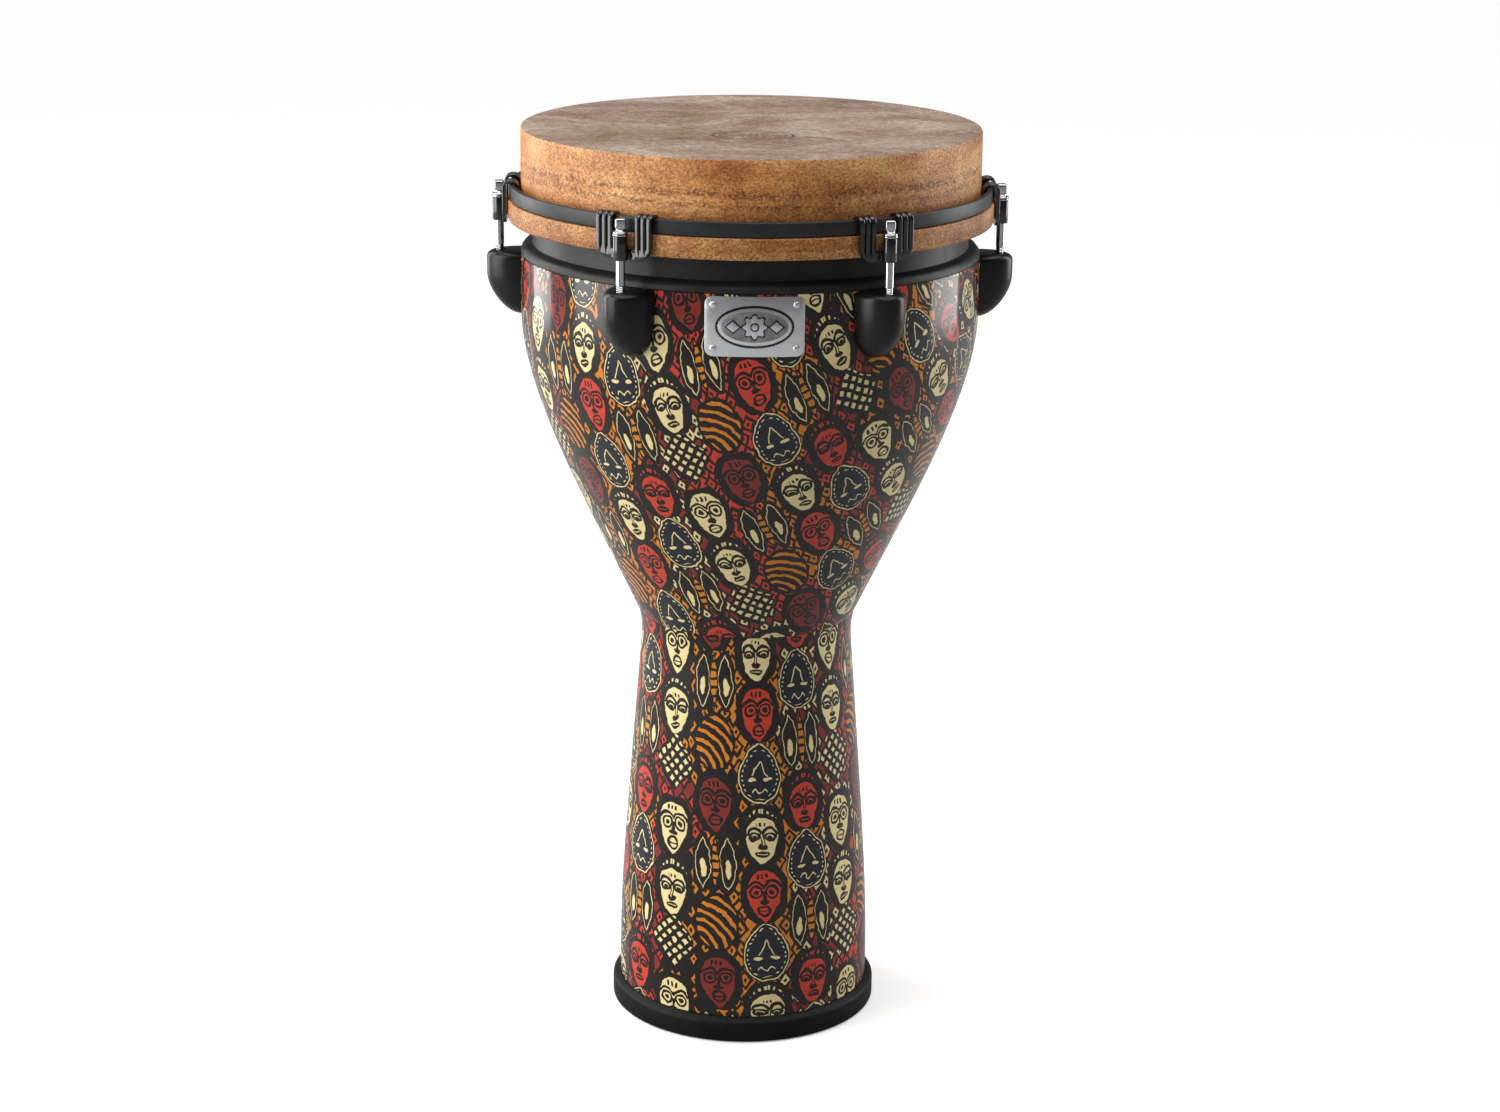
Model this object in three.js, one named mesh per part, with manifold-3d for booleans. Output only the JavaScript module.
// A goblet drum (djembe) with a hoop-tensioned head, in millimetres, +Z up.
// The origin is the middle of the foot, on the floor. The front, with the badge, faces -Y.
import * as THREE from "three";
import { mergeVertices } from "three/addons/utils/BufferGeometryUtils.js";
import Module from "manifold-3d";

const wasm = await Module();
wasm.setup();

// ---------------------------------------------------------------- driving dimensions
const AROUND = 36; // facets round every large ring, so that nested rings stay parallel
const GAP = 0.3; // clearance between touching pieces

const TOP = 612; // playing surface
const HEAD_R = 151; // outer radius of the drumhead's standing wall
const FILM = 0.8;
const FILM_FOOT = 554.5; // lowest edge of the drumhead's wall

const WRAP = 0.8; // printed skin on the outside of the shell
const WALL = 6; // shell wall
const BOWL_R = 151.5; // outer radius of the bowl's upright rim, over the skin
const BOWL_TOP = 529;
const SEAM = 283; // where foot and bowl are glued together
const FOOT_R = 86.4; // outer radius of the foot at the floor, over the skin
const LAP = 8; // height of the glued half-lap at the seam

const HOOP_LOW = 551.3; // underside of the flesh hoop
const HOOP_MID = 565.3; // the counter-hoop bears on the flesh hoop here
const HOOP_TOP = 574.8;
const HOOP_R = 158.5; // outer radius of the counter-hoop
const FLESH_R = 159.6; // outer radius of the flesh hoop

const STATIONS = [30, 90, 150, 210, 270, 330]; // tuning stations, degrees from the front
const ROD_R = 165.3; // distance of the tension rods from the drum's axis
const ROD = 2.78; // rod radius
const ROD_TIP = 509.5;
const ROD_SHOULDER = 565.2; // underside of the rod's flange
const BORE = 3.3; // clear bore round a rod

const CLAW_WIDTH = 39;
const CLAW_IN = 159.9; // inner face of the claw's plate
const CLAW_PLATE = 2.6;
const CLAW_LOW = 548.5;
const SLEEVE_TOP = 563.5;

const LUG_TOP = 529;
const LUG_LOW = 486;
const LUG_REACH = 22.5; // how far a lug stands out from the bowl
const LUG_HALF_WIDTH = 16;
const LUG_BELLY = 513; // height where a lug is widest
const LUG_FULLNESS = 0.6; // how much wider than a plain egg its lower end is
const LUG_WALL = 2.2;
const SCREW_X = 8.5; // lug screws, either side of the lug's middle
const SCREW_Z = 503;
const SCREW_TIP = BOWL_R + 7;
const SCREW = 2.4; // screw shank radius
const SCREW_HOLE = 2.95;

const BADGE_WIDTH = 62;
const BADGE_HEIGHT = 37.7;
const BADGE_TOP = 528;
const BADGE_IN = 151.8;
const BADGE_THICK = 0.8;
const RIVET_INSET = 5.2;
const RIVET = 1.2; // rivet shank radius

// ---------------------------------------------------------------- helpers
const point = (x, y) => new THREE.Vector2(x, y);

// A closed three.js geometry as a solid that can be cut and joined.
function solid(geometry) {
  const bare = geometry.clone();
  bare.deleteAttribute("normal");
  bare.deleteAttribute("uv");
  const merged = mergeVertices(bare, 1e-4);
  const vertProperties = merged.attributes.position.array;
  const triVerts = new Uint32Array(merged.index.array);
  return new wasm.Manifold(new wasm.Mesh({ numProp: 3, vertProperties, triVerts }));
}

function geometryOf(made) {
  const { vertProperties, triVerts } = made.getMesh();
  const geometry = new THREE.BufferGeometry();
  geometry.setAttribute("position", new THREE.BufferAttribute(vertProperties, 3));
  geometry.setIndex(new THREE.BufferAttribute(triVerts, 1));
  geometry.computeVertexNormals();
  return geometry;
}

// Turns a profile of (radius, height) points round the Z axis, starting at the front.
const spun = (profile, around = AROUND) => new THREE.LatheGeometry(profile, around).rotateX(Math.PI / 2);

// The same for a ring, whose profile closes on itself.
const ring = (profile, around = AROUND) => spun([...profile, profile[0]], around);

// A round bar or cutter that stands on Z.
function upright(radius, low, high, around = 10) {
  const bar = new THREE.CylinderGeometry(radius, radius, high - low, around).rotateX(Math.PI / 2);
  return bar.translate(0, 0, (low + high) / 2);
}

// A round bar or cutter that points outwards, from y = -from to y = -to.
function outward(radius, from, to, around = 8) {
  const bar = new THREE.CylinderGeometry(radius, radius, to - from, around);
  return bar.translate(0, -(from + to) / 2, 0);
}

// Extrudes an outline drawn in (distance from the axis, height) across the width of a claw.
function sideways(shape, width) {
  const slab = new THREE.ExtrudeGeometry(shape, { depth: width, bevelEnabled: false, curveSegments: 5 });
  slab.translate(0, 0, -width / 2);
  const turn = new THREE.Matrix4().makeBasis(
    new THREE.Vector3(0, -1, 0),
    new THREE.Vector3(0, 0, 1),
    new THREE.Vector3(-1, 0, 0),
  );
  return slab.applyMatrix4(turn);
}

// Extrudes an outline drawn in (x, height) outwards, from one distance to another.
function facing(shape, from, to) {
  const slab = new THREE.ExtrudeGeometry(shape, { depth: to - from, bevelEnabled: false, curveSegments: 3 });
  return slab.rotateX(Math.PI / 2).translate(0, -from, 0);
}

// ---------------------------------------------------------------- outline of the drum's body
const footCurve = new THREE.CubicBezierCurve(
  point(FOOT_R, 16),
  point(FOOT_R, 74),
  point(85.6, 90),
  point(72.3, 256),
);
const waistCurve = new THREE.QuadraticBezierCurve(point(72.3, 256), point(70.65, 276.9), point(73.4, SEAM));
const bowlCurve = new THREE.CubicBezierCurve(
  point(73.4, SEAM),
  point(103.7, 349.2),
  point(BOWL_R, 435.2),
  point(BOWL_R, 489.8),
);

// Outer radius of the body at a height, over the skin.
function bodyRadius(z) {
  const curve = [footCurve, waistCurve, bowlCurve].find((one) => z <= one.getPoint(1).y);
  if (!curve) return BOWL_R;
  if (z <= curve.getPoint(0).y) return curve.getPoint(0).x;
  let low = 0;
  let high = 1;
  for (let step = 0; step < 40; step += 1) {
    const middle = (low + high) / 2;
    if (curve.getPoint(middle).y < z) low = middle;
    else high = middle;
  }
  return curve.getPoint(low).x;
}

// A point this deep under the body's surface, measured square to the surface.
function under(z, depth) {
  const slope = bodyRadius(z + 0.5) - bodyRadius(z - 0.5);
  return point(bodyRadius(z) - depth * Math.hypot(1, slope), z);
}

// A layer of the body between two depths, through the given heights from the bottom up.
const layer = (heights, outer, inner) => [
  ...heights.map((z) => under(z, outer)),
  ...heights.toReversed().map((z) => under(z, inner)),
];

const FOOT_HEIGHTS = [64, 115, 180, 240, 262, 273];
const BOWL_HEIGHTS = [305, 345, 385, 420, 450, 482];
const SHELL_OUT = WRAP + GAP;
const SHELL_IN = SHELL_OUT + WALL;
const LAP_R = 68.7; // radius of the half-lap's glue face

// ---------------------------------------------------------------- materials
const finish = (color, roughness, metalness) => () =>
  new THREE.MeshStandardMaterial({ color, roughness, metalness });
const shellBlack = finish(0x1b1c1e, 0.6, 0);
const printedSkin = finish(0xb5492a, 0.2, 0);
const rubber = finish(0x151516, 0.7, 0);
const skinFilm = finish(0xb39473, 0.8, 0);
const hoopBlack = finish(0x2a2c2e, 0.45, 0.3);
const glossBlack = finish(0x0c0c0d, 0.2, 0.3);
const lugBlack = finish(0x141415, 0.5, 0);
const chrome = finish(0xe2e3e5, 0.12, 1);
const zinc = finish(0x9c9d9f, 0.35, 1);
const satinSilver = finish(0xc4c5c7, 0.3, 0.9);

const djembe = new THREE.Group();

function add(name, geometry, material, parent = djembe) {
  const mesh = new THREE.Mesh(geometry, material());
  mesh.name = name;
  parent.add(mesh);
  return mesh;
}

// ---------------------------------------------------------------- foot, bowl and printed skin
// Holes through the bowl's wall: two screws for each lug and a rivet at each badge corner.
const rivetAngle = Math.asin((BADGE_WIDTH / 2 - RIVET_INSET) / (BADGE_IN + BADGE_THICK));
const rivetPlaces = [BADGE_TOP - RIVET_INSET, BADGE_TOP - BADGE_HEIGHT + RIVET_INSET].flatMap((z) =>
  [-rivetAngle, rivetAngle].map((angle) => ({ z, angle })),
);
const RIVET_HOLE = RIVET + 0.35;
const RIVET_DEPTH = 147; // the rivet holes stop inside the wall

function wallHoles() {
  const holes = [];
  for (const degrees of STATIONS) {
    for (const x of [-SCREW_X, SCREW_X]) {
      const hole = outward(SCREW_HOLE, BOWL_R - 2 * WALL, BOWL_R + WALL).translate(x, 0, SCREW_Z);
      holes.push(solid(hole.rotateZ(THREE.MathUtils.degToRad(degrees))));
    }
  }
  for (const { z, angle } of rivetPlaces) {
    const hole = outward(RIVET_HOLE, RIVET_DEPTH, BOWL_R + WALL, 6).translate(0, 0, z);
    holes.push(solid(hole.rotateZ(angle)));
  }
  return holes.reduce((all, one) => all.add(one));
}

const holes = wallHoles();

const footShell = [
  ...[3.5, 16.7, ...FOOT_HEIGHTS, SEAM - GAP / 2].map((z) => under(z, SHELL_OUT)),
  point(LAP_R - GAP / 2, SEAM - GAP / 2),
  point(LAP_R - GAP / 2, SEAM + LAP - GAP / 2),
  point(65.2, SEAM + LAP - GAP / 2),
  ...[16.7, ...FOOT_HEIGHTS].toReversed().map((z) => under(z, SHELL_IN)),
  under(3.5, SHELL_IN),
];
add("foot_shell", ring(footShell), shellBlack);

const bowlShell = [
  ...[SEAM + GAP / 2, ...BOWL_HEIGHTS, BOWL_TOP].map((z) => under(z, SHELL_OUT)),
  ...[BOWL_TOP, ...BOWL_HEIGHTS.toReversed()].map((z) => under(z, SHELL_IN)),
  point(LAP_R + GAP / 2, SEAM + LAP + GAP / 2),
  point(LAP_R + GAP / 2, SEAM + GAP / 2),
];
add("bowl_shell", geometryOf(solid(ring(bowlShell)).subtract(holes)), shellBlack);

const footWrap = layer([16.7, ...FOOT_HEIGHTS, SEAM - GAP / 2], 0, WRAP);
add("foot_wrap", ring(footWrap), printedSkin);

const bowlWrap = layer([SEAM + GAP / 2, ...BOWL_HEIGHTS, BOWL_TOP], 0, WRAP);
add("bowl_wrap", geometryOf(solid(ring(bowlWrap)).subtract(holes)), printedSkin);

// ---------------------------------------------------------------- rubber ring under the foot
// A channel that the foot's edge stands in, with a lip that slopes up to the skin.
const CHANNEL_OUT = FOOT_R - SHELL_OUT + GAP;
const CHANNEL_IN = FOOT_R - SHELL_IN - GAP;
const baseRing = [
  point(76, 0),
  point(90.6, 0),
  point(91.5, 1.2),
  point(91.5, 13.3),
  point(86.9, 16.4),
  point(CHANNEL_OUT, 16.4),
  point(CHANNEL_OUT, 3.2),
  point(CHANNEL_IN, 3.2),
  point(CHANNEL_IN, 14),
  point(76, 14),
];
add("base_ring", ring(baseRing), rubber);

// ---------------------------------------------------------------- collar and drumhead
// The collar stands in the bowl's rim, necks in to clear the hoop and flares to the bearing edge.
const COLLAR_R = 143.7;
const COLLAR_IN = 138.2;
const SPIGOT_R = BOWL_R - SHELL_IN - GAP;
const collar = [
  point(COLLAR_IN, 519.5),
  point(SPIGOT_R, 519.5),
  point(SPIGOT_R, BOWL_TOP + GAP),
  point(BOWL_R, BOWL_TOP + GAP),
  point(BOWL_R, BOWL_TOP + 1),
  point(150.2, 532.6),
  point(147.2, 534.6),
  point(COLLAR_R, 535.4),
  point(COLLAR_R, 578),
  point(149.7, 598),
  point(149.7, 606.5),
  point(148.4, 609.6),
  point(145.6, TOP - FILM - GAP),
  point(141.5, 609),
  point(COLLAR_IN, 602),
];
add("bearing_collar", ring(collar), shellBlack);

const drumhead = [
  point(0, TOP - FILM),
  point(HEAD_R - FILM, TOP - FILM),
  point(HEAD_R - FILM, FILM_FOOT),
  point(HEAD_R, FILM_FOOT),
  point(HEAD_R, TOP - 0.6),
  point(HEAD_R - 0.6, TOP),
  point(0, TOP),
];
add("drumhead", spun(drumhead), skinFilm);

// ---------------------------------------------------------------- the two hoops
const fleshHoop = [
  point(HEAD_R + 0.4, HOOP_LOW),
  point(FLESH_R - 1, HOOP_LOW),
  point(FLESH_R, HOOP_LOW + 1),
  point(FLESH_R, HOOP_MID - GAP),
  point(HEAD_R + 0.4, HOOP_MID - GAP),
];
add("flesh_hoop", ring(fleshHoop), skinFilm);

const FLANGE_IN = 152.3;
const BAND_IN = 155.3;
const counterHoop = [
  point(FLANGE_IN, HOOP_MID),
  point(HOOP_R, HOOP_MID),
  point(HOOP_R, HOOP_TOP),
  point(BAND_IN, HOOP_TOP),
  point(BAND_IN, HOOP_MID + 2.3),
  point(FLANGE_IN, HOOP_MID + 2.3),
];
add("counter_hoop", ring(counterHoop), hoopBlack);

// ---------------------------------------------------------------- claw
// A plate with two ribbed fingers that hook over the counter-hoop, and a sleeve for the rod.
const TAIL_IN = 151.6;
const TAIL_OUT = 153.6;
const CROWN_Z = 572.6; // the fingers' crown is half an ellipse above this height
const CROWN_MIDDLE = (TAIL_IN + CLAW_IN + CLAW_PLATE) / 2;
const CROWN_A = CLAW_IN + CLAW_PLATE - CROWN_MIDDLE;
const CROWN_B = 4.6;
const FINGER_IN = 8; // a finger runs from this x to the claw's edge
const GROOVE = 0.9;
const WINDOW_LOW = 555;

function clawGeometry() {
  const hook = new THREE.Shape();
  hook.moveTo(CLAW_IN, CLAW_LOW);
  hook.lineTo(CLAW_IN + CLAW_PLATE, CLAW_LOW);
  hook.lineTo(CLAW_IN + CLAW_PLATE, CROWN_Z);
  hook.absellipse(CROWN_MIDDLE, CROWN_Z, CROWN_A, CROWN_B, 0, Math.PI, false);
  hook.lineTo(TAIL_IN, 568.5);
  hook.lineTo(TAIL_OUT, 568.5);
  hook.lineTo(TAIL_OUT, HOOP_TOP + GAP);
  hook.lineTo(CLAW_IN, HOOP_TOP + GAP);

  const half = CLAW_WIDTH / 2;
  const CORNER = 9.5;
  const front = new THREE.Shape();
  front.moveTo(-half, 580);
  front.lineTo(-half, CLAW_LOW + CORNER);
  front.absarc(-half + CORNER, CLAW_LOW + CORNER, CORNER, Math.PI, 1.5 * Math.PI, false);
  front.lineTo(half - CORNER, CLAW_LOW);
  front.absarc(half - CORNER, CLAW_LOW + CORNER, CORNER, 1.5 * Math.PI, 2 * Math.PI, false);
  front.lineTo(half, 580);
  front.lineTo(FINGER_IN, 580);
  front.lineTo(FINGER_IN, WINDOW_LOW);
  front.lineTo(-FINGER_IN, WINDOW_LOW);
  front.lineTo(-FINGER_IN, 580);

  const groove = new THREE.Shape();
  groove.moveTo(CLAW_IN + CLAW_PLATE - GROOVE, WINDOW_LOW);
  groove.lineTo(CLAW_IN + 2 * CLAW_PLATE, WINDOW_LOW);
  groove.lineTo(CLAW_IN + 2 * CLAW_PLATE, 580);
  groove.lineTo(CROWN_MIDDLE, 580);
  groove.absellipse(CROWN_MIDDLE, CROWN_Z, CROWN_A - GROOVE, CROWN_B - GROOVE, Math.PI / 2, 0, true);

  let claw = solid(sideways(hook, CLAW_WIDTH)).intersect(solid(facing(front, 145, 170)));
  const rib = (half - FINGER_IN - 2 * GROOVE) / 3;
  const grooveXs = [FINGER_IN + rib + GROOVE / 2, FINGER_IN + 2 * rib + 1.5 * GROOVE];
  for (const x of grooveXs.flatMap((one) => [one, -one])) {
    claw = claw.subtract(solid(sideways(groove, GROOVE).translate(x, 0, 0)));
  }
  const web = new THREE.BoxGeometry(4.6, ROD_R - CLAW_IN - 1, 11.5);
  web.translate(0, -(ROD_R + CLAW_IN + 1) / 2, CLAW_LOW + 5.75);
  claw = claw.add(solid(web));
  claw = claw.add(solid(upright(4.5, CLAW_LOW, SLEEVE_TOP, 12).translate(0, -ROD_R, 0)));
  claw = claw.subtract(solid(upright(BORE, CLAW_LOW - 5, SLEEVE_TOP + 5).translate(0, -ROD_R, 0)));
  return geometryOf(claw);
}

// ---------------------------------------------------------------- tension rod and washer
// A threaded rod with a flange and a square key head.
const KEY = 6.35;
const KEY_TOP = 574.5;

function rodGeometry() {
  const shank = [
    point(0, ROD_TIP),
    point(ROD - 0.8, ROD_TIP),
    point(ROD, ROD_TIP + 1),
    point(ROD, ROD_SHOULDER),
    point(4.7, ROD_SHOULDER),
    point(4.7, ROD_SHOULDER + 1.1),
    point(3, ROD_SHOULDER + 2.6),
    point(0, ROD_SHOULDER + 2.6),
  ];
  const head = new THREE.BoxGeometry(KEY, KEY, KEY_TOP - ROD_SHOULDER - 2.4);
  head.translate(0, 0, (KEY_TOP + ROD_SHOULDER + 2.4) / 2);
  return geometryOf(solid(spun(shank, 10)).add(solid(head)));
}

const WASHER_LOW = SLEEVE_TOP + GAP;
const WASHER_TOP = ROD_SHOULDER - GAP;
const washer = [
  point(BORE, WASHER_LOW),
  point(4.9, WASHER_LOW),
  point(4.9, WASHER_TOP),
  point(BORE, WASHER_TOP),
];

// ---------------------------------------------------------------- lug, nut and screws
// Half of an egg, hollow and open at the back, with two screw bosses and a hole for the rod.
const bowlCutter = () => {
  const heights = [450, 482, 540];
  const side = heights.map((z) => under(z, -GAP));
  return solid(spun([point(0, 450), ...side, point(0, 540)]));
};

function eggGeometry(inset) {
  const reach = LUG_REACH - inset;
  const low = LUG_LOW + inset;
  const top = LUG_TOP - inset;
  const round = 5 - inset / 2;
  const belly = new THREE.CubicBezierCurve(
    point(0, low),
    point(9 - inset / 2, low),
    point(21.5 - inset, 500 + inset / 2),
    point(reach, LUG_BELLY),
  );
  const edge = new THREE.EllipseCurve(reach - round, top - round, round, round, 0, Math.PI / 2);
  const profile = [...belly.getPoints(4), ...edge.getPoints(2), point(0, top)];
  const egg = spun(profile, 16).scale((LUG_HALF_WIDTH - inset) / reach, 1, 1);
  const places = egg.attributes.position;
  for (let index = 0; index < places.count; index += 1) {
    const drop = Math.max(LUG_BELLY - places.getZ(index), 0) / (LUG_BELLY - LUG_LOW);
    places.setX(index, places.getX(index) * (1 + LUG_FULLNESS * drop * drop));
  }
  return egg.translate(0, -BOWL_R, 0);
}

function lugGeometry() {
  const boss = (x) => solid(outward(4.4, BOWL_R - 4, SCREW_TIP + 4).translate(x, 0, SCREW_Z));
  const pilot = (x) => solid(outward(SCREW_HOLE, BOWL_R - 5, SCREW_TIP + 1.7).translate(x, 0, SCREW_Z));
  const outside = solid(eggGeometry(0));
  let lug = outside.subtract(solid(eggGeometry(LUG_WALL)));
  lug = lug.add(boss(-SCREW_X).add(boss(SCREW_X)).intersect(outside));
  lug = lug.subtract(pilot(-SCREW_X)).subtract(pilot(SCREW_X));
  lug = lug.subtract(solid(upright(BORE + 0.3, LUG_TOP - 5, LUG_TOP + 5).translate(0, -ROD_R, 0)));
  return geometryOf(lug.subtract(bowlCutter()));
}

const NUT_LOW = 511.5;
const NUT_TOP = 524;
const NUT_R = 5.6;
const nut = [
  point(BORE, NUT_LOW),
  point(NUT_R, NUT_LOW),
  point(NUT_R, NUT_TOP),
  point(BORE, NUT_TOP),
];

// A pan-head screw from inside the bowl, drawn along +Y and turned to point outwards.
const SCREW_SEAT = 142.3; // distance from the axis of the face under the head
const screw = [
  point(0, SCREW_SEAT - 3.4),
  point(3.6, SCREW_SEAT - 3.4),
  point(4.6, SCREW_SEAT - 2),
  point(4.6, SCREW_SEAT),
  point(SCREW, SCREW_SEAT),
  point(SCREW, SCREW_TIP),
  point(0, SCREW_TIP),
];

// ---------------------------------------------------------------- the six tuning stations
STATIONS.forEach((degrees, index) => {
  const number = index + 1;
  const station = new THREE.Group();
  station.rotation.z = THREE.MathUtils.degToRad(degrees);
  djembe.add(station);
  add(`claw_${number}`, clawGeometry(), glossBlack, station);
  const rod = add(`tension_rod_${number}`, rodGeometry(), chrome, station);
  rod.position.y = -ROD_R;
  rod.rotation.z = -station.rotation.z; // every key head is left square to the drum's front
  add(`rod_washer_${number}`, ring(washer, 10), chrome, station).position.y = -ROD_R;
  add(`lug_casing_${number}`, lugGeometry(), lugBlack, station);
  add(`lug_nut_${number}`, ring(nut, 10), zinc, station).position.y = -ROD_R;
  for (const [side, x] of [["a", -SCREW_X], ["b", SCREW_X]]) {
    const bolt = add(`lug_screw_${number}${side}`, new THREE.LatheGeometry(screw, 8), zinc, station);
    bolt.position.set(x, 0, SCREW_Z);
    bolt.rotation.x = Math.PI;
  }
});

// ---------------------------------------------------------------- badge
// A thin plate bent to the bowl, held by a dome rivet near each corner.
function badgeGeometry() {
  const corner = 5;
  const x = BADGE_WIDTH / 2;
  const low = BADGE_TOP - BADGE_HEIGHT;
  const plate = new THREE.Shape();
  plate.moveTo(-x, low + corner);
  plate.absarc(-x + corner, low + corner, corner, Math.PI, 1.5 * Math.PI, false);
  plate.absarc(x - corner, low + corner, corner, 1.5 * Math.PI, 2 * Math.PI, false);
  plate.absarc(x - corner, BADGE_TOP - corner, corner, 0, 0.5 * Math.PI, false);
  plate.absarc(-x + corner, BADGE_TOP - corner, corner, 0.5 * Math.PI, Math.PI, false);
  const outer = BADGE_IN + BADGE_THICK;
  const tube = [point(BADGE_IN, 480), point(outer, 480), point(outer, 540), point(BADGE_IN, 540)];
  const bent = solid(ring(tube)).intersect(solid(facing(plate, 140, 160)));
  return geometryOf(bent.subtract(holes));
}

add("badge_plate", badgeGeometry(), satinSilver);

const rivetSeat = BADGE_IN + BADGE_THICK + GAP;
const rivet = [
  point(0, RIVET_DEPTH + GAP),
  point(RIVET, RIVET_DEPTH + GAP),
  point(RIVET, rivetSeat),
  point(2.2, rivetSeat),
  point(1.8, rivetSeat + 0.8),
  point(0, rivetSeat + 1.3),
];
rivetPlaces.forEach(({ z, angle }, index) => {
  const turned = new THREE.Group();
  turned.rotation.z = angle;
  djembe.add(turned);
  const stud = add(`badge_rivet_${index + 1}`, new THREE.LatheGeometry(rivet, 8), satinSilver, turned);
  stud.position.z = z;
  stud.rotation.x = Math.PI;
});

export default djembe;
